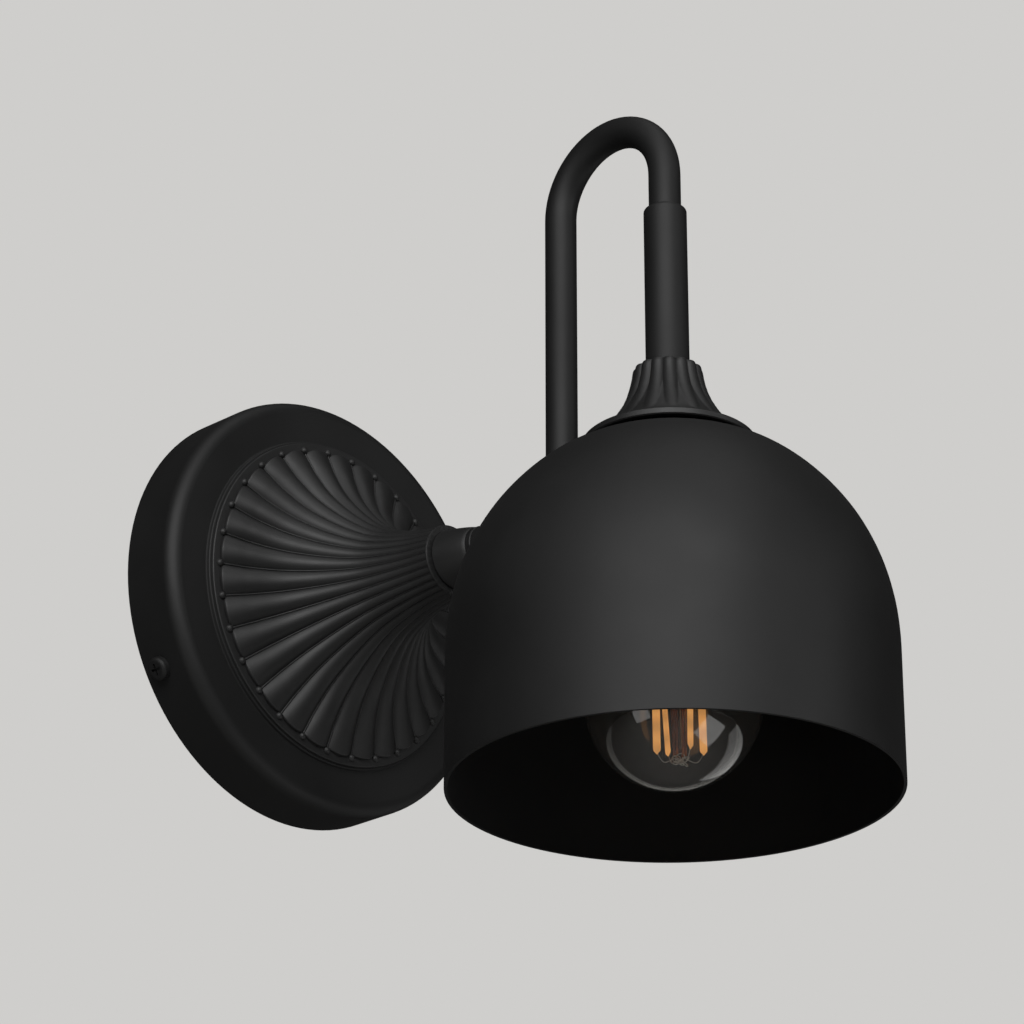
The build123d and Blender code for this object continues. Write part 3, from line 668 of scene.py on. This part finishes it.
@dataclass
class FlutedNeck:
    """The fluted casting, what ties it to the canopy, and its collar. Sizes are in millimetres."""

    flutes: int = 30
    steps: int = 20
    crest_deg: float = 7.4
    # A flute's height over half its width, the share of it at the tip, and how far it takes to rise.
    bulge: float = 0.54
    low_tip: float = 0.62
    tip_rise: float = 12.0
    # The rounded tip: how far its sides lie behind its crest, and how far its edge takes to rise.
    tip: float = 1.6
    tip_edge: float = 0.8
    # The valley between two flutes, as distances from the axis and from the wall.
    valley: tuple[Pair, ...] = (
        (62.2, 26.95), (56.0, 29.15), (50.0, 31.5), (40.0, 37.3), (30.0, 46.3), (22.0, 56.5),
        (17.8, 66.0), (14.6, 78.0), (12.9, 90.0),
    )
    # Rings close together over the rounded tips, as distances along the valley, then even ones.
    tip_rings: Shares = (0.0, 0.03, 0.09, 0.18, 0.3, 0.42, 0.55, 0.68, 0.8, 1.1, 1.6, 2.4, 3.4, 4.6)
    even_rings: int = 56
    # The hollow inside: its wall, the nipple's bore, and rings at shares of the valley's length.
    wall: float = 2.0
    bore_r: float = 5.1
    bore_length: float = 2.5
    inner_shares: Shares = (0.97, 0.85, 0.7, 0.55, 0.4, 0.25, 0.12, 0.05)
    bead: float = 1.5
    bead_ring_r: float = 61.9
    flange_r: float = 65.1
    flange_inner_r: float = 59.9
    flange_rounding: float = 0.45
    flange_depth: Pair = (26.5, 27.7)
    # The valleys' thin lines: their radii at both ends, how they stand out, and where they start.
    rib: Pair = (0.4, 0.17)
    rib_lift: float = 1.1
    rib_start: float = 1.2
    rib_steps: int = 48
    collar_steps: int = 128
    # The raised lip round the casting's small end.
    lip: tuple[Pair, ...] = (
        (11.3, 88.8), (13.3, 88.9), (13.85, 89.15), (14.0, 89.5), (13.85, 89.85), (13.4, 90.05),
        (11.3, 90.05),
    )
    collar: tuple[Pair, ...] = (
        (5.1, 90.0), (11.1, 90.0), (11.1, 90.5), (11.65, 90.65), (11.4, 92.3), (11.0, 94.8), (10.6, 97.2),
        (10.2, 99.3), (9.75, 101.4), (9.3, 103.2), (9.0, 104.2), (8.6, 104.7), (5.1, 104.7),
    )

    def build(self) -> None:
        """Makes the casting with all its relief, the lip at its small end and the collar after it."""
        line = SectionLine(self.valley)
        self.casting(line)
        self.flange()
        self.beads()
        self.ribs(line)
        lip, collar = ([about_neck(r, d) for r, d in rows] for rows in (self.lip, self.collar))
        add_casting("casting_lip", lathe(lip, self.collar_steps))
        piece = add_casting("tapered_collar", lathe(collar, self.collar_steps))
        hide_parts("neck_collar")

    @property
    def first_crest(self) -> float:
        """The turn of the first flute's crest."""
        return radians(self.crest_deg)

    @property
    def half_flute(self) -> float:
        """Half the turn between two crests."""
        return pi / self.flutes

    def flute_ring(self, line: SectionLine, distance: float) -> Ring:
        """One ring of the fluted skin.

        Args:
            line: the valleys' line.
            distance: how far along it the ring lies, apart from the rounded tips.

        Returns:
            The ring.
        """
        arc = (1 + self.bulge**2) / (2 * self.bulge)
        sunk = (1 - self.bulge**2) / (2 * self.bulge)
        flute = 2 * self.half_flute

        def place(turn: float) -> Vector:
            """The skin's point at one turn."""
            crest = self.first_crest + round((turn - self.first_crest) / flute) * flute
            across = (turn - crest) / self.half_flute
            foot = self.tip * across**2
            along = foot + distance * (1 - foot / line.length)
            at, out = line.at(along)
            wide = at.x * sin(self.half_flute)
            edge = min(1.0, (along - foot) / self.tip_edge)
            high = (sqrt(arc**2 - across**2) - sunk) * wide * sqrt(edge * (2 - edge))
            high *= min(1.0, self.low_tip + (1 - self.low_tip) * along / self.tip_rise)
            radial = at.x * cos(self.half_flute) + out.x * high
            side = across * wide
            x = radial * cos(crest) - side * sin(crest)
            z = radial * sin(crest) + side * cos(crest)
            return Vector((x, -(at.y + out.y * high), z)) * MM

        return place

    def casting(self, line: SectionLine) -> None:
        """Makes the hollow fluted casting, in place of the plainer solid.

        Args:
            line: the valleys' line.
        """
        start = self.tip_rings[-1]
        even = [start + (line.length - start) * (k + 1) / self.even_rings for k in range(self.even_rings)]
        rings = [self.flute_ring(line, distance) for distance in [*self.tip_rings, *even]]
        end = self.valley[-1][1]
        rings += [about_neck(self.bore_r, end), about_neck(self.bore_r, end - self.bore_length)]
        for share in self.inner_shares:
            at, out = line.at(share * line.length)
            inner = at - self.wall * out
            rings.append(about_neck(inner.x, max(inner.y, self.flange_depth[0])))
        mesh = lathe(rings, self.flutes * self.steps, self.first_crest)
        piece = add_casting("fluted_casting", mesh)
        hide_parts("trumpet")

    def flange(self) -> None:
        """Makes the casting's thin round flange."""
        back, face = self.flange_depth
        rings = [(self.flange_inner_r, back), (self.flange_r, back)]
        rings += rounded_edge(self.flange_r, face, self.flange_rounding, 5)
        rings += [(self.flange_inner_r, face)]
        mesh = lathe([about_neck(r, d) for r, d in rings], RIM_STEPS)
        add_casting("casting_flange", mesh)

    def beads(self) -> None:
        """Makes the ring of beads, one at the end of each valley."""
        mesh = bmesh.new()
        for i in range(self.flutes):
            turn = self.first_crest + (2 * i + 1) * self.half_flute
            spot = about_neck(self.bead_ring_r, self.flange_depth[1])(turn)
            bmesh.ops.create_uvsphere(
                mesh, u_segments=20, v_segments=12, radius=self.bead * MM, matrix=Matrix.Translation(spot)
            )
        add_casting("casting_beads", mesh)

    def ribs(self, line: SectionLine) -> None:
        """Makes the thin raised line that lies in each valley.

        Args:
            line: the valleys' line.
        """
        paths = []
        start, steps = self.rib_start, self.rib_steps
        for i in range(self.flutes):
            turn = self.first_crest + (2 * i + 1) * self.half_flute
            path = []
            for k in range(steps + 1):
                at, out = line.at(start + (line.length - start) * k / steps)
                thick = self.rib[0] + (self.rib[1] - self.rib[0]) * k / steps
                spot = at + self.rib_lift * thick * out
                path.append(about_neck(spot.x, spot.y)(turn))
            paths.append(path)
        mesh = wires(paths, self.rib[0] * MM, self.rib[1] * MM, sides=10)
        add_casting("valley_ribs", mesh)

    def dress(self) -> None:
        """Gives the neck's pieces their finishes."""
        coat(CAST_POWDER_COAT, "trumpet", "neck_collar")
        coat(POWDER_COAT, "lock_ring")
        coat(YELLOW_ZINC, "tie_nipple")
        coat(ZINC_PLATE, "tie_washer", "tie_nut")


@dataclass
class CrookArm:
    """The bent tube with its socket and sleeve, and the leads inside it."""

    def dress(self) -> None:
        """Gives the arm's pieces their finishes."""
        coat(POWDER_COAT, "arm_ferrule", "arm_tube", "arm_sleeve")
        coat(BROWN_PVC, "live_lead")
        coat(BLUE_PVC, "neutral_lead")


@dataclass
class HangingShade:
    """The spun shade, its fluted cap and the nipple and nut that clamp them. Sizes are in millimetres."""

    flutes: int = 16
    steps: int = 20
    # The cap's bell, as distances from the axis and heights, from its top down to the flange.
    bell: tuple[Pair, ...] = (
        (11.2, 42.6), (12.2, 37.0), (14.0, 31.2), (16.7, 25.8), (19.5, 21.7), (22.1, 18.3), (25.2, 15.6),
        (28.4, 14.0), (31.0, 13.3),
    )
    # Each flute's round section: height, crest's distance from the axis and own radius.
    flute: tuple[Point, ...] = (
        (42.6, 12.0, 2.1), (42.4, 12.3, 2.3), (41.9, 12.6, 2.5), (40.8, 12.85, 2.65), (38.5, 13.2, 2.75),
        (35.5, 13.85, 2.9), (32.5, 14.7, 3.05), (29.5, 15.8, 3.25), (26.5, 17.2, 3.5), (23.5, 19.0, 3.85),
        (20.5, 20.95, 4.2), (18.0, 22.45, 4.5), (16.4, 23.6, 4.8),
    )
    flute_steps: int = 12
    # Rings close together over the flutes' rounded top ends, then even ones from bell_start on.
    top_heights: Shares = (42.6, 42.52, 42.4, 42.2, 41.9, 41.4, 40.8, 39.8)
    bell_start: float = 3.6
    bell_rings: int = 44
    # From the flange's rim round its underside and up the bores, back to the top.
    inside: tuple[Pair, ...] = (
        (31.5, 12.9), (31.5, 11.1), (31.1, 10.7), (29.2, 10.7), (26.0, 12.4), (23.0, 14.6), (20.3, 17.2),
        (18.0, 20.2), (16.3, 23.0), (15.0, 26.0), (9.5, 27.0), (9.5, 15.6), (5.1, 15.6), (5.1, 33.0),
        (8.05, 33.0), (8.05, 42.6),
    )

    def build(self) -> None:
        """Makes the fluted cap, in place of the plainer solid."""
        bell = SectionLine(self.bell)
        table = smooth_points([Vector(row) for row in self.flute], self.flute_steps)
        rings = [self.cap_ring(bell, table, height) for height in self.top_heights]
        start = self.bell_start
        for k in range(self.bell_rings + 1):
            at = bell.at(start + (bell.length - start) * k / self.bell_rings)[0]
            rings.append(self.cap_ring(bell, table, at.y))
        rings += [about_lamp(r, h) for r, h in self.inside]
        mesh = lathe(rings, self.flutes * self.steps)
        piece = add_casting("fluted_cap", mesh)
        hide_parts("shade_cap")

    def cap_ring(self, bell: SectionLine, table: list[Vector], height: float) -> Ring:
        """One ring of the cap, where the flutes stand out of the bell.

        Args:
            bell: the bell's line.
            table: the flutes' sections in short steps, from the top down.
            height: the ring's height.

        Returns:
            The ring.
        """
        plain = min(bell.line, key=lambda point: abs(point.y - height))
        row = min(table, key=lambda entry: abs(entry.x - height))
        fluted = height >= self.flute[-1][0]
        middle = row.y - row.z

        def place(turn: float) -> Vector:
            """The cap's point at one turn."""
            part = 2 * pi / self.flutes
            off = min(turn % part, part - turn % part)
            radius = plain.x
            if fluted:
                bulge = sqrt(row.z**2 - (middle * sin(off)) ** 2)
                radius = max(radius, middle * cos(off) + bulge)
            return about_lamp(radius, height)(turn)

        return place

    def dress(self) -> None:
        """Gives the shade's pieces their finishes."""
        coat(POWDER_COAT, "shade")
        coat(CAST_POWDER_COAT, "shade_cap")
        coat(FIBRE, "cap_gasket")
        coat(YELLOW_ZINC, "lamp_nipple")
        coat(ZINC_PLATE, "shade_washer", "shade_nut")


@dataclass
class Lampholder:
    """The screw lampholder inside the shade."""

    def dress(self) -> None:
        """Gives the holder's pieces their finishes."""
        coat(PHENOLIC, "holder_dome", "holder_skirt")
        coat(STEATITE, "holder_insert")
        coat(BRASS, "holder_shell", "holder_contact", "holder_screws")


@dataclass(frozen=True)
class Strip:
    """Where one filament strip stands about the bulb's axis, in millimetres and degrees."""

    turn_deg: float
    low_r: float
    top_r: float
    low_z: float
    facing_deg: float

    def ends(self, length: float, lean: Vector) -> tuple[Vector, Vector]:
        """The strip's lower and upper end, with the stem's lean off the axis."""
        turn = radians(self.turn_deg)
        low, top = about_lamp(self.low_r, self.low_z), about_lamp(self.top_r, self.low_z + length)
        return low(turn) + lean, top(turn) + lean

    @property
    def facing(self) -> Vector:
        """The direction that its flat side looks in."""
        return Vector((cos(radians(self.facing_deg)), sin(radians(self.facing_deg)), 0))


@dataclass
class FilamentBulb:
    """The clear bulb with its glowing strips. Sizes are in millimetres."""

    strips: tuple[Strip, ...] = (
        Strip(158, 8.8, 9.1, -106.6, 224), Strip(-22, 9.3, 8.6, -104.4, 224),
        Strip(-112, 8.2, 9.2, -106.0, 272), Strip(68, 9.0, 13.2, -103.2, 166),
    )
    strip_length: float = 35.0
    strip_size: Pair = (2.65, 1.0)
    strip_taper: float = 1.7
    # How far the stem and what it carries stand off the axis.
    lean_mm: Pair = (1.3, -1.35)
    # The stem's rounded end, with heights over it, and its flare, with depths under its top.
    stem_end: float = -104.6
    stem_tip: tuple[Pair, ...] = ((0.05, 0.0), (1.3, 0.1), (2.1, 0.7), (2.5, 1.9))
    stem_flare: tuple[Pair, ...] = ((2.5, 14.0), (2.9, 11.0), (3.9, 7.5), (5.6, 4.6), (8.0, 2.4))
    seal_height: float = 1.2
    # The curl of wire: its reach, and in shares of it each loop's middle, its swing and its stagger.
    loops: int = 8
    loop_steps: int = 32
    crown_z: float = -107.4
    crown_wire: float = 0.17
    crown_reach: float = 3.3
    loop_middle: float = 0.55
    loop_swing: Point = (0.4, 0.45, 0.5)
    loop_stagger: float = 0.16
    # The fine leads: from the curl to each strip's foot with a sag, and from its top to the flare.
    lead_wire: float = 0.13
    lead_steps: int = 10
    lead_start: float = 0.22
    sag_share: float = 0.3
    sag_mm: float = 2.2
    weld_mm: float = 0.5
    flare_drop: float = 4.0
    flare_leads: tuple[Pair, ...] = ((9.5, -6.0), (6.4, 0.0))
    # The thicker rods inside the stem.
    rods: int = 6
    first_rod_deg: float = 14.0
    rod_ring_r: float = 2.0
    rod_wire: float = 0.42
    rod_rise: float = 1.6
    rod_middle_z: float = -90.0
    rod_seal: float = 3.0
    # The screw cap: its thread, which runs out over 1/run_out of its length at both ends, its
    # rolled rim with depths under its top, and its lower edge.
    pitch_mm: float = 3.62
    crest_mm: float = 13.1
    root_mm: float = 12.45
    thread_rings: int = 64
    thread_drop: float = 1.4
    thread_rise: float = 1.8
    run_out: float = 6.0
    cap_rim: tuple[Pair, ...] = ((10.2, 0.4), (10.6, 0.0), (11.9, 0.35))
    cap_edge: float = 1.2
    cap_bore_mm: float = 12.25
    bore_drop: float = 1.3

    def build(self) -> None:
        """Makes what the plain solids leave out: thread, strips, stem and wires."""
        self.screw_cap()
        self.filament_strips()
        self.glass_stem()
        self.stem_crown()
        self.support_wires()

    @property
    def lean(self) -> Vector:
        """The lean in metres."""
        return Vector((*self.lean_mm, 0)) * MM

    def filament_strips(self) -> None:
        """Makes the flat strips with their tapered ends, in place of the round ones."""
        mesh = bmesh.new()
        size = (self.strip_size[0] * MM, self.strip_size[1] * MM)
        for strip in self.strips:
            ends = strip.ends(self.strip_length, self.lean)
            flat_bar(mesh, ends, strip.facing, size, self.strip_taper * MM)
        piece = add_piece("filament_strips", mesh, AMBER_STRIP, Body.BULB)
        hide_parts("bulb_filaments")

    def glass_stem(self) -> None:
        """Makes the glass stem, flared at its seal and rounded at its end, in place of the plain one."""
        low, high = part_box("bulb_stem")
        seal = (high.x - low.x) / 2 / MM
        top = high.z / MM
        end = self.stem_end
        profile = [(r, end + rise) for r, rise in self.stem_tip]
        profile += [(r, top - drop) for r, drop in self.stem_flare]
        profile += [(seal, top - self.seal_height), (seal, top), (self.stem_tip[0][0], top)]
        mesh = lathe([about_lamp(r, z) for r, z in profile], 64)
        for vertex in mesh.verts:
            drop = min(1.0, max(0.0, (top - vertex.co.z / MM) / (top - end)))
            vertex.co += self.lean * drop
        piece = add_piece("glass_stem", mesh, STEM_GLASS, Body.BULB)
        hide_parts("bulb_stem")

    def hub(self) -> Vector:
        """The middle of the wire curl."""
        return about_lamp(0, self.crown_z)(0) + self.lean

    def stem_crown(self) -> None:
        """Makes the curl of fine wire at the stem's end, where the strips are welded on."""
        paths = []
        outward, sideways, upward = self.loop_swing
        for i in range(self.loops):
            turn = 2 * pi * i / self.loops
            out = Vector((cos(turn), sin(turn), 0))
            side = Vector((-out.y, out.x, 0))
            path = []
            for k in range(self.loop_steps + 1):
                t = 2 * pi * k / self.loop_steps
                swing = out * (self.loop_middle + outward * cos(t)) + side * sideways * sin(t)
                lift = Vector((0, 0, upward * sin(t + i) + self.loop_stagger * (i % 3 - 1)))
                path.append(self.hub() + (swing + lift) * self.crown_reach * MM)
            paths.append(path)
        mesh = wires(paths, self.crown_wire * MM)
        add_piece("stem_crown", mesh, TINNED_WIRE, Body.BULB)

    def support_wires(self) -> None:
        """Makes the fine leads to both ends of each strip, and the rods inside the stem."""
        hub = self.hub()
        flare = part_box("bulb_stem")[1].z / MM - self.flare_drop
        fine = []
        for strip in self.strips:
            low, top = strip.ends(self.strip_length, self.lean)
            start = hub.lerp(low, self.lead_start)
            sag = low.lerp(hub, self.sag_share) - Vector((0, 0, self.sag_mm * MM))
            weld = low + Vector((0, 0, self.weld_mm * MM))
            fine.append(smooth_points([start, sag, weld], self.lead_steps))
            turn = radians(strip.turn_deg)
            over = [about_lamp(r, flare + rise)(turn) for r, rise in self.flare_leads]
            fine.append(smooth_points([top, *over], self.lead_steps))
        mesh = wires(fine, self.lead_wire * MM)
        piece = add_piece("support_wires", mesh, TINNED_WIRE, Body.BULB)
        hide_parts("bulb_supports")
        rods = []
        levels = (self.crown_z + self.rod_rise, self.rod_middle_z, flare + self.rod_seal)
        for i in range(self.rods):
            turn = radians(360 * i / self.rods + self.first_rod_deg)
            rods.append([about_lamp(self.rod_ring_r, z)(turn) + self.lean for z in levels])
        add_piece("stem_rods", wires(rods, self.rod_wire * MM), COPPER_CLAD, Body.BULB)

    def thread_ring(self, height: float, share: float) -> Ring:
        """One ring of the rolled right-hand thread.

        Args:
            height: its height in millimetres.
            share: how much of the thread's depth is there, from 0 to 1, since it runs out at both ends.

        Returns:
            The ring.
        """
        middle = (self.crest_mm + self.root_mm) / 2
        depth = (self.crest_mm - self.root_mm) / 2 * share
        start = 2 * pi * height / self.pitch_mm
        return lambda turn: about_lamp(middle + depth * cos(start - turn), height)(turn)

    def screw_cap(self) -> None:
        """Makes the screw cap with its real helical thread, in place of the ringed solid."""
        low, high = (corner.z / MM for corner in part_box("bulb_cap"))
        bore = self.cap_bore_mm
        rings = [about_lamp(r, high - drop) for r, drop in self.cap_rim]
        start, end = high - self.thread_drop, low + self.thread_rise
        steps = self.thread_rings
        for i in range(steps + 1):
            share = min(1.0, self.run_out * i / steps, self.run_out * (1 - i / steps))
            rings.append(self.thread_ring(start + (end - start) * i / steps, share))
        rings += [about_lamp(self.crest_mm, low + self.cap_edge), about_lamp(self.crest_mm, low)]
        rings += [about_lamp(bore, low), about_lamp(bore, high - self.bore_drop)]
        piece = add_piece("screw_cap", lathe(rings), NICKEL_PLATE, Body.BULB)
        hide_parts("bulb_cap")

    def dress(self) -> None:
        """Gives the bulb's pieces their finishes."""
        coat(BLOWN_GLASS, "bulb_glass")
        coat(STEM_GLASS, "bulb_stem")
        coat(NICKEL_PLATE, "bulb_cap", "bulb_supports")
        coat(BLACK_GLASS, "bulb_insulator")
        coat(SOLDER, "bulb_contact")
        coat(BOARD, "bulb_driver")
        coat(AMBER_STRIP, "bulb_filaments")


# ---- studio ----
@dataclass(frozen=True)
class PhotoCamera:
    """The camera that took the photograph, found from the object's own circles."""

    heading_deg: float = 45.877
    tilt_deg: float = 23.715
    roll_deg: float = 0.071
    focal_px: float = 3739.1
    origin_px: Pair = (290.465, 622.416)
    origin_depth: float = 1.46724
    image_px: int = 1024
    sensor_mm: float = 36.0
    clip: Pair = (0.05, 50.0)

    def build(self) -> None:
        """Makes the camera and gives it to the scene."""
        heading, tilt, roll = (radians(a) for a in (self.heading_deg, self.tilt_deg, self.roll_deg))
        forward = cos(tilt)
        ahead = Vector((sin(heading) * forward, cos(heading) * forward, sin(tilt)))
        level = Vector((cos(heading), -sin(heading), 0))
        upright = level.cross(ahead)
        right = level * cos(roll) + upright * sin(roll)
        up = upright * cos(roll) - level * sin(roll)
        across = (self.origin_px[0] - self.image_px / 2) / self.focal_px
        down = (self.origin_px[1] - self.image_px / 2) / self.focal_px
        eye = -self.origin_depth * (ahead + right * across - up * down)
        data = bpy.data.cameras.new("photo_camera")
        data.sensor_width = self.sensor_mm
        data.lens = self.focal_px / self.image_px * self.sensor_mm
        data.clip_start, data.clip_end = self.clip
        camera = bpy.data.objects.new("photo_camera", data)
        turn = Matrix((right, up, -ahead)).transposed()
        camera.matrix_world = Matrix.Translation(eye) @ turn.to_4x4()
        bpy.context.scene.collection.objects.link(camera)
        bpy.context.scene.camera = camera


@dataclass(frozen=True)
class SoftBox:
    """A large soft lamp."""

    name: str
    place: Point
    aim: Point
    width: float
    height: float
    watts: float

    def build(self) -> None:
        """Makes the lamp, pointing at its aim."""
        data = bpy.data.lights.new(self.name, "AREA")
        data.shape = "RECTANGLE"
        data.size, data.size_y = self.width, self.height
        data.energy = self.watts
        lamp = bpy.data.objects.new(self.name, data)
        lamp.location = self.place
        lamp.rotation_mode = "QUATERNION"
        lamp.rotation_quaternion = (Vector(self.aim) - Vector(self.place)).to_track_quat("-Z", "Y")
        bpy.context.scene.collection.objects.link(lamp)


@dataclass
class Studio:
    """A pale floor, a pale surround and soft lamps. The surround's strengths are shares of full."""

    floor_z: float = -1.3
    floor_side: float = 6.0
    pale: str = "#cfcecc"
    ambient: float = 0.014
    mirrored: float = 0.03
    through_glass: float = 0.5
    boxes: tuple[SoftBox, ...] = (
        SoftBox("front_box", (-1.1, -1.15, 0.62), (0.0, -0.15, -0.03), 1.7, 1.0, 22),
        SoftBox("right_box", (0.5, -1.6, 0.35), (0.0, -0.1, -0.05), 0.5, 0.5, 2.9),
        SoftBox("top_box", (-0.1, -0.6, 1.5), (0.0, -0.15, -0.03), 1.0, 1.0, 2.8),
        SoftBox("left_box", (-1.6, -0.35, 0.5), (0.0, -0.1, -0.05), 0.7, 0.9, 2.0),
        # The low ones light the shade's inside and draw the bulb's reflections.
        SoftBox("low_front_box", (0.25, -0.88, -0.78), (0.0, -0.2, -0.09), 0.55, 0.5, 1.05),
        SoftBox("low_right_box", (0.93, -0.3, -0.45), (0.0, -0.2, -0.09), 1.1, 0.45, 0.72),
        SoftBox("low_left_box", (-0.85, -0.1, -0.5), (0.0, -0.2, -0.09), 0.35, 0.35, 0.42),
    )

    def build(self) -> None:
        """Makes the floor, the surround, the lamps and the camera."""
        self.floor()
        self.surround()
        PhotoCamera().build()
        for box in self.boxes:
            box.build()

    def floor(self) -> None:
        """Makes the plain floor well below the light."""
        half = self.floor_side / 2
        corners = [(-half, -half), (half, -half), (half, half), (-half, half)]
        made = bpy.data.meshes.new("studio_floor")
        made.from_pydata([(x, y, self.floor_z) for x, y in corners], [], [(0, 1, 2, 3)])
        floor = bpy.data.objects.new("studio_floor", made)
        bpy.context.scene.collection.objects.link(floor)
        paint = StagePaint("studio_floor_paint", self.pale, 0.8, worn=self.pale, mottle_mm=400, grain_mm=2.0)
        made.materials.append(paint.material())

    def surround(self) -> None:
        """Makes the world: pale to the camera, dimmer through glass, dim in mirrors and as light."""
        world = bpy.data.worlds.new("studio_surround")
        world.use_nodes = True
        tree = world.node_tree
        tree.nodes.clear()
        path = add_node(tree, "ShaderNodeLightPath")
        rays = {"Camera": 1.0, "Transmission": self.through_glass, "Glossy": self.mirrored}
        strength = self.ambient
        for ray, share in rays.items():
            pair = {0: path.outputs[f"Is {ray} Ray"], 1: share}
            seen = add_node(tree, "ShaderNodeMath", pair, operation="MULTIPLY").outputs["Value"]
            most = add_node(tree, "ShaderNodeMath", {0: seen, 1: strength}, operation="MAXIMUM")
            strength = most.outputs["Value"]
        pale = add_node(tree, "ShaderNodeBackground", {"Color": srgb(self.pale), "Strength": strength})
        add_node(tree, "ShaderNodeOutputWorld", {"Surface": pale.outputs["Background"]})
        bpy.context.scene.world = world


def main() -> None:
    """Dresses the frame piece by piece and lights it."""
    logging.basicConfig(level=logging.INFO, format="%(message)s")
    bpy.context.scene.view_settings.view_transform = "Standard"
    plate = WallPlate()
    plate.build()
    plate.dress()
    neck = FlutedNeck()
    neck.build()
    neck.dress()
    CrookArm().dress()
    shade = HangingShade()
    shade.build()
    shade.dress()
    Lampholder().dress()
    bulb = FilamentBulb()
    bulb.build()
    bulb.dress()
    Studio().build()


if __name__ == "__main__":
    main()
